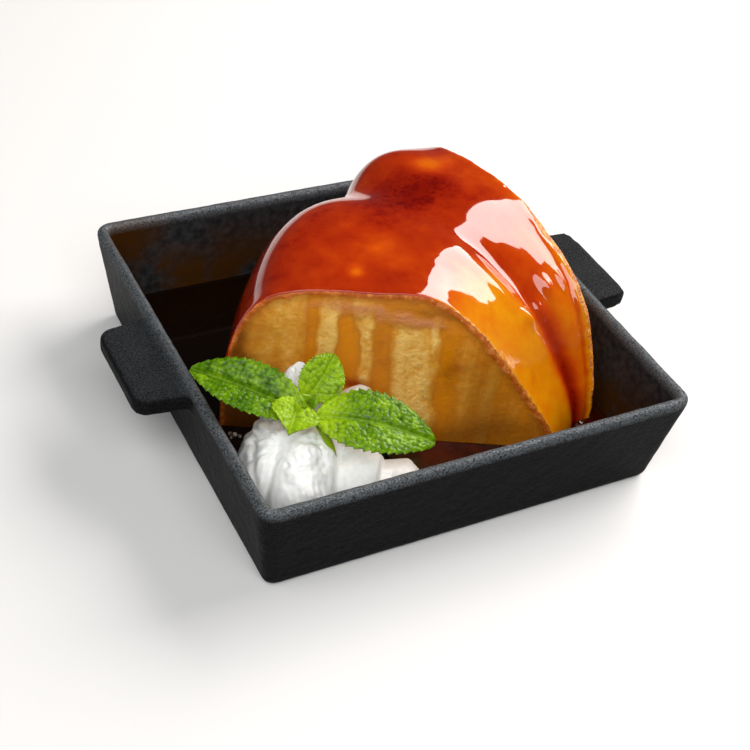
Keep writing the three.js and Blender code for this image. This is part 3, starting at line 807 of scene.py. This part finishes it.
def cast_iron():
    """Sand-cast iron with a baked-on black seasoning: dark, matt, with the sand's grain in it.
    Bare metal grains show along the worn rim. The inside is painted lighter than the outside,
    as painted light. Low on the inside and in one corner a film of caramel tints the iron brown
    and makes it shinier, and that brown also paints the caramel's reflection in the inside walls.
    The grit is 0.5 mm and the casting's bumps 2.4 mm, rather coarser than sand, so that they show."""
    material, tree, shader = new_material("seasoned_cast_iron")
    place = add(tree, "TexCoord").outputs["Object"]
    grit = add(tree, "TexNoise", {"Vector": place, "Scale": bumps_of(0.5), "Detail": 3,
            "Roughness": 0.6})
    cast = add(tree, "TexNoise", {"Vector": place, "Scale": bumps_of(2.38), "Detail": 4,
            "Roughness": 0.6})
    patches = add(tree, "TexNoise", {"Vector": place, "Scale": bumps_of(26.3), "Detail": 5,
            "Roughness": 0.65})
    tint = add(tree, "ValToRGB", {"Fac": grit}, stops=[
            (0.3, "#0a0a0b"), (0.5, "#121213"), (0.68, "#202022")])
    where = add(tree, "SeparateXYZ", {"Vector": place})
    away = add(tree, "VectorMath", {0: place}, operation="ABSOLUTE")
    parts = add(tree, "SeparateXYZ", {"Vector": away})
    widest = add(tree, "Math", {0: parts.outputs["X"], 1: parts.outputs["Y"]}, operation="MAXIMUM")
    lean = add(tree, "Math", {0: where.outputs["Z"], 1: -WALL_LEAN, 2: widest},
            operation="MULTIPLY_ADD")
    inside = add(tree, "Math", {0: lean, 1: MID_WALL * MM}, operation="LESS_THAN")
    # Painted light: the inside walls and floor are painted lighter than the outside, for the light
    # that falls in on them.
    painted_light_inside = add(tree, "Math", {0: inside, 1: 0.75}, operation="MULTIPLY")
    lit_inside_tint = add(tree, "ValToRGB", {"Fac": cast}, stops=[(0.35, "#1c1c1d"), (0.65, "#383738")])
    colour = add(tree, "Mix", {0: painted_light_inside, 6: tint, 7: lit_inside_tint}, data_type="RGBA")
    # A brown caramel film low on the inside and in the splashed corner. Partly it is painted
    # reflection: the brown caramel mirrored in the inside walls.
    lowness = add(tree, "MapRange", {"Value": where.outputs["Z"], "From Min": 29 * MM,
            "From Max": 12 * MM})
    corner = add(tree, "VectorMath", {0: place, 1: [v * MM for v in SPLASHED]},
            operation="DISTANCE")
    splash = add(tree, "MapRange", {"Value": corner, "From Min": 6 * MM, "From Max": 24 * MM,
            "To Min": 1.0, "To Max": 0.0})
    reach = add(tree, "Math", {0: lowness, 1: splash}, operation="MAXIMUM")
    film = add(tree, "Math", {0: reach, 1: inside}, operation="MULTIPLY")
    smear = add(tree, "MapRange", {"Value": patches, "From Min": 0.42, "From Max": 0.55})
    wet = add(tree, "Math", {0: film, 1: smear}, operation="MULTIPLY")
    caramel_film_and_reflection = add(tree, "Mix", {0: wet, 6: colour, 7: linear("#382008")}, data_type="RGBA")
    high = add(tree, "MapRange", {"Value": where.outputs["Z"], "From Min": 29 * MM,
            "From Max": 31.6 * MM})
    bare = add(tree, "MapRange", {"Value": grit, "From Min": 0.3, "From Max": 0.8, "To Max": 0.6})
    worn = add(tree, "Math", {0: high, 1: bare}, operation="MULTIPLY")
    final = add(tree, "Mix", {0: worn, 6: caramel_film_and_reflection, 7: linear("#9aa1a6")}, data_type="RGBA")
    gloss = add(tree, "MapRange", {"Value": wet, "To Min": 0.4, "To Max": 0.2})
    coarse = add(tree, "Bump", {"Height": cast, "Strength": 0.35, "Distance": 0.8 * MM})
    fine = add(tree, "Bump", {"Height": grit, "Strength": 0.4, "Distance": 0.5 * MM,
            "Normal": coarse})
    connect(tree, shader, {"Base Color": final, "Metallic": worn, "Roughness": gloss,
            "Normal": fine, "Specular IOR Level": 0.0143})
    return material


# ---- the pool of caramel ------------------------------------------------------------------------

# Just under the pool's surface, and far above its floor.
UNDER_SURFACE = 5.2


def make_sauce():
    """The pool, with its surface drawn up a little where it wets the walls, custard and cream."""
    pool = copy_of_node("caramel_pool", "sauce")
    apply_modifier(pool, "REMESH", mode="VOXEL", voxel_size=0.55 * MM, adaptivity=0.0)
    apply_modifier(pool, "SMOOTH", factor=0.5, iterations=2)
    points, normals = points_of(pool), vertices_of(pool, "normal")
    sides = points[np.abs(normals[:, 2]) < 0.5]
    tree = kdtree.KDTree(len(sides))
    for i, p in enumerate(sides):
        tree.insert(p, i)
    tree.balance()
    top = np.where((points[:, 2] > UNDER_SURFACE) & (normals[:, 2] > 0.3))[0]
    from_side = np.array([tree.find(points[i])[2] for i in top])
    points[top, 2] += 0.75 * np.exp(-from_side / 1.1) + 0.05 * rumple(points[top], 7, 71)
    set_points(pool, points)
    return smooth_shaded(pool)


# Bubbles caught in the syrup by the wall: middle and radius.
BUBBLES = [
    ((-49.6, -1.8, 6.8), 0.62), ((-48.4, -3.2, 6.8), 0.55), ((-50.3, -9.8, 6.8), 0.6),
    ((-49.2, -10.6, 6.8), 0.75), ((-48.0, -11.6, 6.8), 0.6), ((-50.6, -11.4, 6.8), 0.45),
]


def make_bubbles():
    """The bubbles as one piece, each standing half out of the syrup."""
    bubbles = []
    for middle, radius in BUBBLES:
        deselect_all()
        bpy.ops.mesh.primitive_uv_sphere_add(segments=20, ring_count=12, radius=radius * MM,
                                             location=[v * MM for v in middle])
        bubbles.append(bpy.context.active_object)
    froth = joined(bubbles)
    bpy.ops.object.transform_apply(location=True, rotation=True, scale=True)
    froth.name = "syrup_bubbles"
    return smooth_shaded(froth)


def caramel_syrup():
    """Thin caramel syrup run off the custard: clear and wet, with the slice's shadow painted in
    almost black towards the back left.
    """
    material, tree, shader = new_material("caramel_syrup")
    place = add(tree, "TexCoord").outputs["Object"]
    clouds = add(tree, "TexNoise", {"Vector": place, "Scale": bumps_of(11.1), "Detail": 4})
    tint = add(tree, "ValToRGB", {"Fac": clouds}, stops=[
            (0.35, "#1a0400"), (0.55, "#320900"), (0.7, "#4c1402")])
    # Painted shadow: the syrup is painted nearly black towards the back left, where the slice
    # shades it.
    where = add(tree, "VectorMath", {0: place, 1: (-0.75, 0.66, 0)}, operation="DOT_PRODUCT")
    deep = add(tree, "MapRange", {"Value": where, "From Min": -5 * MM, "From Max": 25 * MM})
    colour = add(tree, "Mix", {0: deep, 6: tint, 7: linear("#0c0400")}, data_type="RGBA")
    connect(tree, shader, {"Base Color": colour, "Roughness": 0.04, "IOR": 1.46})
    return material


def syrup_froth_painted_glints():
    """Froth on the caramel syrup: thin wet bubble walls, pale with the air inside them, and paler
    still as painted glints. Their mottling is 0.7 mm across, as wide as a bubble, so that each
    takes its own shade."""
    material, tree, shader = new_material("syrup_froth_painted_glints")
    place = add(tree, "TexCoord").outputs["Object"]
    wall = add(tree, "TexNoise", {"Vector": place, "Scale": bumps_of(0.714)})
    # Painted highlight: the pale end of the tint stands in for the bubbles' glints.
    tint = add(tree, "ValToRGB", {"Fac": wall}, stops=[(0.4, "#6e5a48"), (0.6, "#d8ccc0")])
    connect(tree, shader, {"Base Color": tint, "Roughness": 0.06, "IOR": 1.4})
    return material


# ---- the whipped cream --------------------------------------------------------------------------

# The lobes' middles and half widths. CREAM_BLEND is how softly they run together. From the heart
# the whole surface can be seen, no further away than CREAM_REACH.
CREAM_HEART = np.array([-36.0, -34.0, 9.0])
CREAM_LOBES = [
    ((-43.5, -38, 10), (16, 17, 19)),
    ((-28.5, -45.5, 8), (11.5, 12.5, 15)),
    ((-17, -43.5, 5.5), (8, 9, 11.5)),
    ((-46.5, -26.5, 7), (7.5, 8, 15)),
    ((-36, -20.5, 15), (9.6, 6, 20.8)),
    ((-21.5, -26.5, 11.5), (11, 7, 17.5)),
]
CREAM_BLEND = 1.3
CREAM_REACH = 42
CREAM_STEP = 0.6
# How many directions are looked in, around and from bottom to top.
CREAM_AROUND = 340
CREAM_OVER = 190
# The spoon's tip left the front lobe here. Marks are placed across it and up it, as seen from
# the front.
PULL = np.array([-36.3, -39.1, 26.9])
PULL_ACROSS = np.array([0.848, -0.530, 0])
PULL_UP = np.array([0.341, 0.545, 0.766])


def spoon_marks(points):
    """Valleys, pulled ridges and curls that the spoon left in the front lobe."""
    across, up = (points - PULL) @ PULL_ACROSS, (points - PULL) @ PULL_UP
    down = smooth_step(-up, 0, 6)
    wander = 0.8 * rumple(points, 6, 84)
    valleys = 2.0 * bell(across + wander, -11.5 + 0.06 * up, 1.5) * down
    valleys = valleys + 1.6 * bell(across + wander, 5.0 - 0.05 * up, 1.6) * down
    valleys = valleys + 0.9 * bell(across + wander, -20 - 0.3 * up, 1.2) * down
    valleys = valleys + 1.8 * bell(across + 0.5 * wander, 17.5 + 0.1 * up, 1.2)
    fan = np.arctan2(up + 3, across + 9)
    reach = np.hypot(up + 3, across + 9)
    pulled = np.sin(21 * fan + 4.5 * rumple(points, 5, 83)) * smooth_step(reach, 2, 5)
    pulled = 0.22 * pulled * (1 - smooth_step(across, -12, -9)) * (1 - smooth_step(reach, 13, 20))
    curled = bell(across, -3, 6.5) * bell(up, -7, 9)
    strands = np.sin(3.6 * across + 0.8 * up + 5 * rumple(points, 6, 88)) + rumple(points, 2.4, 89)
    strands = 0.22 * strands * bell(across, 0, 6) * bell(up, -17, 6)
    curls = (1.1 * rumple(points, 3.1, 85) + 0.8 * np.abs(rumple(points, 1.7, 86))) * curled
    return valleys + pulled + curls + strands


def outside_cream(points):
    """Roughly how far each point lies outside the heap, below nought inside it."""
    total = 0
    for at, size in CREAM_LOBES:
        away = (np.linalg.norm((points - np.array(at)) / np.array(size), axis=-1) - 1) * min(size)
        total = total + np.exp(-away / CREAM_BLEND)
    soft = -CREAM_BLEND * np.log(total)
    # Folds hang from the top, and the low end that was pulled away is torn.
    from_heart = points - CREAM_HEART
    turn = np.arctan2(from_heart[..., 1], from_heart[..., 0])
    folds = 0.3 * np.sin(9 * turn + points[..., 2] / 4)
    drawn = 0.5 * rumple(points * [1, 1, 0.4], 5.5, 81)
    drawn = drawn + 0.12 * rumple(points * [1.6, 1.6, 0.35], 2.2, 82)
    torn = smooth_step(points[..., 0], -17, -11) * 0.9 * layered_rumple(points, 2.8, 87)
    heap = soft + folds + drawn + torn + spoon_marks(points)
    # The heap stops at the walls, the near cut and the dish's floor.
    wall_x = -(points[..., 0] + inside_half(points[..., 2]) - GAP)
    wall_y = -(points[..., 1] + inside_half(points[..., 2]) - GAP)
    turn = math.radians(NEAR_CUT)
    away = points[..., :2] - RING_AXIS
    beyond_cut = GAP + away[..., 0] * math.sin(turn) - away[..., 1] * math.cos(turn)
    under = FLOOR + GAP - points[..., 2]
    return np.maximum.reduce([heap, wall_x, wall_y, beyond_cut, under])


def make_cream():
    """The heap, found by looking from its heart in every direction for the surface."""
    turn, tilt = np.meshgrid(
        np.linspace(0, 2 * math.pi, CREAM_AROUND, endpoint=False),
        np.linspace(-math.pi / 2, math.pi / 2, CREAM_OVER),
    )
    way = np.stack([np.cos(tilt) * np.cos(turn), np.cos(tilt) * np.sin(turn), np.sin(tilt)], -1)
    high = np.full(turn.shape, np.nan)
    for reach in np.arange(CREAM_STEP, CREAM_REACH, CREAM_STEP):
        out = outside_cream(CREAM_HEART + way * reach) > 0
        high = np.where(np.isnan(high) & out, reach, high)
    high = np.where(np.isnan(high), CREAM_REACH, high)
    low = high - CREAM_STEP
    # Halving the step ten times finds the surface to within a thousandth of a millimetre.
    for _ in range(10):
        middle = (low + high) / 2
        out = outside_cream(CREAM_HEART + way * middle[..., None]) > 0
        high, low = np.where(out, middle, high), np.where(out, low, middle)
    points = (CREAM_HEART + way * low[..., None]).reshape(-1, 3)
    faces = grid_faces(CREAM_OVER, CREAM_AROUND, wrap=True)
    heap = new_piece("whipped_cream_heap", points, faces)
    return smooth_shaded(tidy_mesh(heap, merge=0.01))


def whipped_cream():
    """Whipped dairy cream: fine foam, bright white, moist, with light carried softly inside it.
    The foam is drawn 1.4 mm coarse, as its own bubbles are too fine to show."""
    material, tree, shader = new_material("whipped_cream")
    place = add(tree, "TexCoord").outputs["Object"]
    foam = add(tree, "TexNoise", {"Vector": place, "Scale": bumps_of(1.43), "Detail": 4,
            "Roughness": 0.6})
    tint = add(tree, "ValToRGB", {"Fac": foam}, stops=[(0.3, "#eef0ec"), (0.7, "#fbfbf9")])
    bump = add(tree, "Bump", {"Height": foam, "Strength": 0.12, "Distance": 0.3 * MM})
    connect(tree, shader, {"Base Color": tint, "Normal": bump, "Roughness": 0.38, "IOR": 1.4,
            "Subsurface Weight": 0.25, "Subsurface Radius": (1.0, 0.9, 0.8),
            "Subsurface Scale": 1.2 * MM})
    return material


# ---- the sprig of mint --------------------------------------------------------------------------

# Name, base, tip, the way the upper face looks, width, arch of the midrib, fold, crumple and
# how young and pale the leaf is.
LEAVES = [
    ("mint_leaf_left", (-41, -36, 33.5), (-64.3, -12, 36.5), (-0.1, -0.45, 0.9),
     15.5, 2, 0.48, 0.4, 0.0),
    ("mint_leaf_right", (-39, -36.8, 33.2), (-10.4, -52.8, 28.5), (0.05, -0.4, 0.92),
     19, 3.4, 0.12, 0.35, 0.1),
    ("mint_leaf_top", (-39.5, -31.5, 34.5), (-28.5, -25.5, 42.5), (-0.05, -0.7, 0.7),
     12.8, 2.6, 0.3, 0.7, 0.5),
    ("mint_leaf_front", (-42, -32.5, 35.2), (-48.6, -42, 34.2), (0.1, -0.35, 0.93),
     13.5, 1, 0.2, 1.6, 0.7),
    ("mint_bud_left", (-40.6, -33.2, 34.6), (-42.4, -33.8, 39.2), (0.5, -0.8, 0.3),
     4.4, 1.4, 0.5, 0.5, 0.5),
    ("mint_bud_right", (-39.2, -33.6, 34.6), (-37.4, -34.4, 38.6), (-0.6, -0.7, 0.4),
     4.0, 1.2, 0.5, 0.5, 0.3),
]
LEAF_THICKNESS = 0.5
TEETH = 15
BUD_TEETH = 8
VEIN_PAIRS = 6
LEAF_ROWS = 150
LEAF_COLUMNS = 89


def make_leaf(name, base, tip, up, width, arch, fold, crumple, freshness, seed):
    """A mint leaf: toothed, quilted between its veins, arched along the midrib and folded."""
    rows, columns = LEAF_ROWS, LEAF_COLUMNS
    base, tip = np.array(base, float), np.array(tip, float)
    length = np.linalg.norm(tip - base)
    axis = (tip - base) / length
    side = np.cross(up, axis)
    side /= np.linalg.norm(side)
    up = np.cross(axis, side)
    along, across = np.meshgrid(
        np.linspace(0.012, 0.99, rows), np.linspace(-1, 1, columns), indexing="ij"
    )
    edge = np.abs(across)
    body = np.sin(math.pi * along**0.84) ** 0.66
    teeth = TEETH if length > 12 else BUD_TEETH
    # Teeth and veins on one side stand between those on the other.
    tooth = (along * teeth + 0.5 * (across > 0)) % 1
    half_width = width / 2 * body * (1 - 0.10 * tooth * smooth_step(edge, 0.5, 1))
    phase = VEIN_PAIRS * (along - 0.13 * edge * (1 + edge)) + 0.25 * (across > 0)
    vein = np.abs((phase + 0.5) % 1 - 0.5) * 2
    veined = 1 - smooth_step(vein, 0.0, 0.22)
    midrib = 1 - smooth_step(edge * half_width, 0.15, 0.6)
    # The blade puffs up between the finest veins, in cells measured on its real width.
    flat = np.stack([along * length, across * half_width], -1)
    puffs = 1 - cells(flat + 20 * seed, 1.25, seed) ** 2
    fine = 1 - cells(flat + 11 * seed, 0.7, seed + 5) ** 2
    quilt = 0.16 * smooth_step(vein, 0.0, 0.4) + 0.5 * puffs + 0.16 * fine
    quilt = quilt * smooth_step(edge * half_width, 0.1, 1.2) * (1 - 0.4 * edge**6)
    quilt = quilt * np.clip(width / 15, 0.4, 1) - 0.15 * midrib
    lift = arch * 4 * along * (1 - along) + fold * edge * half_width * (1 - 0.35 * edge)
    curl = crumple * rumple(stacked(along * length, across * 4, seed), 5, 91) * edge
    middle = base + axis * (along * length)[..., None] + side * (across * half_width)[..., None]
    thin = LEAF_THICKNESS / 2 * (1 - 0.6 * edge**4)
    front = middle + up * (lift + curl + quilt - 0.15 + thin)[..., None]
    back = middle + up * (lift + curl + 0.8 * quilt - 0.15 - thin)[..., None]
    # The two faces are joined round the edge of the grid.
    count = rows * columns
    ring = np.concatenate([
        np.arange(columns), np.arange(1, rows) * columns + columns - 1,
        (rows - 1) * columns + np.arange(columns - 2, -1, -1),
        np.arange(rows - 2, 0, -1) * columns,
    ])
    rim = np.stack([ring, np.roll(ring, -1), np.roll(ring, -1) + count, ring + count], -1)
    top_faces = grid_faces(rows, columns)
    faces = np.concatenate([top_faces, top_faces[:, ::-1] + count, rim])
    leaf = new_piece(name, np.concatenate([front.reshape(-1, 3), back.reshape(-1, 3)]), faces)
    hollow = np.maximum(veined * 0.25, midrib) * (1 - 0.3 * edge)
    # Painted shade: the grooves between the puffs are stored here, to be darkened.
    groove = np.clip(1.25 * (1 - puffs) + 0.35 * (1 - fine) - 0.1, 0, 1)
    young = np.clip(freshness + 1 - smooth_step(along, 0.0, 0.34), 0, 1)
    for kind, values in (("vein", hollow), ("groove", groove), ("young", young)):
        set_amount(leaf, kind, np.tile(values.ravel(), 2))
    return smooth_shaded(tidy_mesh(leaf, merge=0.002))


STEM_PATH = [
    (-39.5, -33, 34), (-38, -38, 31), (-36.2, -42, 27.5), (-35.4, -43.6, 23), (-35.4, -43.6, 16),
]
STEM_HALF = 1.1


def make_stem():
    """The stem, from the bud down into the cream."""
    deselect_all()
    curve = bpy.data.curves.new("mint_stem", "CURVE")
    curve.dimensions = "3D"
    curve.bevel_depth = STEM_HALF * MM
    curve.bevel_resolution = 5
    curve.resolution_u = 10
    curve.use_fill_caps = True
    line = curve.splines.new("NURBS")
    line.points.add(len(STEM_PATH) - 1)
    for point, at in zip(line.points, STEM_PATH):
        point.co = (*[v * MM for v in at], 1)
    line.use_endpoint_u = True
    line.order_u = 4
    stem = bpy.data.objects.new("mint_stem", curve)
    bpy.context.scene.collection.objects.link(stem)
    only(stem)
    bpy.ops.object.convert(target="MESH")
    stem = bpy.context.active_object
    tidy_mesh(stem)
    # The stem takes a little of the leaves' painted groove shade.
    for name, value in (("vein", 0.25), ("groove", 0.2), ("young", 0.8)):
        set_amount(stem, name, np.full(len(stem.data.vertices), value))
    return smooth_shaded(stem)


def mint_leaf():
    """Fresh spearmint leaf: bright green and crinkled, with a thin waxy shine, and light comes
    through it. Its fine hairs are drawn 0.4 mm apart, coarse enough to show."""
    material, tree, shader = new_material("fresh_mint_leaf")
    place = add(tree, "TexCoord").outputs["Object"]
    vein, groove, young = (add(tree, "Attribute", attribute_name=name).outputs["Fac"]
                           for name in ("vein", "groove", "young"))
    skin = add(tree, "TexNoise", {"Vector": place, "Scale": bumps_of(3.85), "Detail": 5,
            "Roughness": 0.65})
    leaf = add(tree, "ValToRGB", {"Fac": skin}, stops=[
            (0.3, "#335c02"), (0.5, "#547f05"), (0.7, "#84ac16")])
    fresh = add(tree, "Mix", {0: young, 6: leaf, 7: linear("#9ec01c")}, data_type="RGBA")
    # Painted shade: the grooves between the puffs are darkened, less on young leaves.
    grown = add(tree, "MapRange", {"Value": young, "To Min": 0.95, "To Max": 0.45})
    dark = add(tree, "Math", {0: groove, 1: grown}, operation="MULTIPLY")
    creased = add(tree, "Mix", {0: dark, 6: fresh, 7: linear("#163002")}, data_type="RGBA")
    light = add(tree, "Math", {0: vein, 1: 0.3}, operation="MULTIPLY")
    veined = add(tree, "Mix", {0: light, 6: creased, 7: linear("#86a82c")}, data_type="RGBA")
    hair = add(tree, "TexNoise", {"Vector": place, "Scale": bumps_of(0.385), "Detail": 2})
    bump = add(tree, "Bump", {"Height": hair, "Strength": 0.3, "Distance": 0.15 * MM})
    connect(tree, shader, {"Base Color": veined, "Normal": bump, "Roughness": 0.2, "IOR": 1.28,
            "Subsurface Weight": 0.15, "Subsurface Radius": (0.5, 1.0, 0.1),
            "Subsurface Scale": 1.2 * MM})
    return material


# ---- putting the pieces in place ----------------------------------------------------------------


def dress(piece, materials, node):
    """Gives a piece its materials, hangs it from the root, and hides the CAD node that it stands
    for.
    """
    for material in materials:
        piece.data.materials.append(material)
    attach(piece, "root")
    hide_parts(node)


custard = make_slice()
lay_caramel(custard)
dress(custard, [caramel_glaze(), cut_custard()], "flan")
dress(make_dish(), [cast_iron()], "dish")
dress(make_sauce(), [caramel_syrup()], "sauce")
dress(make_bubbles(), [syrup_froth_painted_glints()], "sauce")
dress(make_cream(), [whipped_cream()], "cream")

leaf_green = mint_leaf()
for seed, leaf in enumerate(LEAVES, 1):
    dress(make_leaf(*leaf, seed), [leaf_green], "mint_sprig")
dress(make_stem(), [leaf_green], "mint_sprig")

# ---- camera, light and floor ---------------------------------------------------------------------

# Angles in radians, and distance and target in mm. The roll tips the camera a little.
CAMERA_YAW = -0.559
CAMERA_PITCH = 0.698
CAMERA_ROLL = 0.146
CAMERA_DISTANCE = 436.2
CAMERA_TARGET = np.array([4.655, 6.363, 0.0])
CAMERA_LENS = 67.89

back = np.array([
    math.sin(CAMERA_YAW) * math.cos(CAMERA_PITCH),
    -math.cos(CAMERA_YAW) * math.cos(CAMERA_PITCH),
    math.sin(CAMERA_PITCH),
])
level = np.cross(-back, [0, 0, 1])
level /= np.linalg.norm(level)
upright = np.cross(level, -back)
right = math.cos(CAMERA_ROLL) * level + math.sin(CAMERA_ROLL) * upright
top = -math.sin(CAMERA_ROLL) * level + math.cos(CAMERA_ROLL) * upright
lens = bpy.data.cameras.new("camera")
lens.lens = CAMERA_LENS
lens.sensor_width = 36
lens.clip_start = 0.01
lens.clip_end = 20
camera = bpy.data.objects.new("camera", lens)
eye = (CAMERA_TARGET + back * CAMERA_DISTANCE) * MM
camera.matrix_world = Matrix([*np.stack([right, top, back, eye], -1).tolist(), (0, 0, 0, 1)])
bpy.context.scene.collection.objects.link(camera)
bpy.context.scene.camera = camera

LIGHTS_AIM = Vector((10, 0, 35)) * MM


def soft_box(name, azimuth, height, distance, width, tall, power, colour="#ffffff"):
    """A rectangular soft box, aimed at the slice. azimuth turns from +Y towards +X."""
    turn, lift = math.radians(azimuth), math.radians(height)
    way = Vector((math.sin(turn) * math.cos(lift), math.cos(turn) * math.cos(lift), math.sin(lift)))
    light = bpy.data.lights.new(name, "AREA")
    light.shape = "RECTANGLE"
    light.size, light.size_y = width, tall
    light.energy = power
    light.color = linear(colour)[:3]
    box = bpy.data.objects.new(name, light)
    box.location = LIGHTS_AIM + way * distance
    box.rotation_euler = way.to_track_quat("Z", "Y").to_euler()
    bpy.context.scene.collection.objects.link(box)


soft_box("key", 76, 41, 0.9, 0.75, 0.6, 11.8, "#fff8f4")
soft_box("front", -163, 46, 1.5, 1.2, 1.0, 15)
soft_box("left", -112, 52, 1.5, 1.1, 1.1, 10)

deselect_all()
bpy.ops.mesh.primitive_plane_add(size=6, location=(0, 0, -0.2 * MM))
floor = bpy.context.active_object
floor.name = "floor"
paper, tree, shader = new_material("pale_paper")
connect(tree, shader, {"Base Color": linear("#dcdcdb"), "Roughness": 0.9})
floor.data.materials.append(paper)

world = bpy.data.worlds.new("studio")
bpy.context.scene.world = world
world.use_nodes = True
tree = world.node_tree
sky = add(tree, "TexCoord")
height = add(tree, "SeparateXYZ", {"Vector": sky.outputs["Generated"]})
grey = add(tree, "ValToRGB", {"Fac": height.outputs["Z"]}, stops=[
        (0.0, 0.08), (0.12, 0.06), (0.3, 0.04), (1.0, 0.03)])
connect(tree, tree.nodes["Background"], {"Color": grey, "Strength": 1.0})
bpy.context.scene.view_settings.view_transform = "Standard"
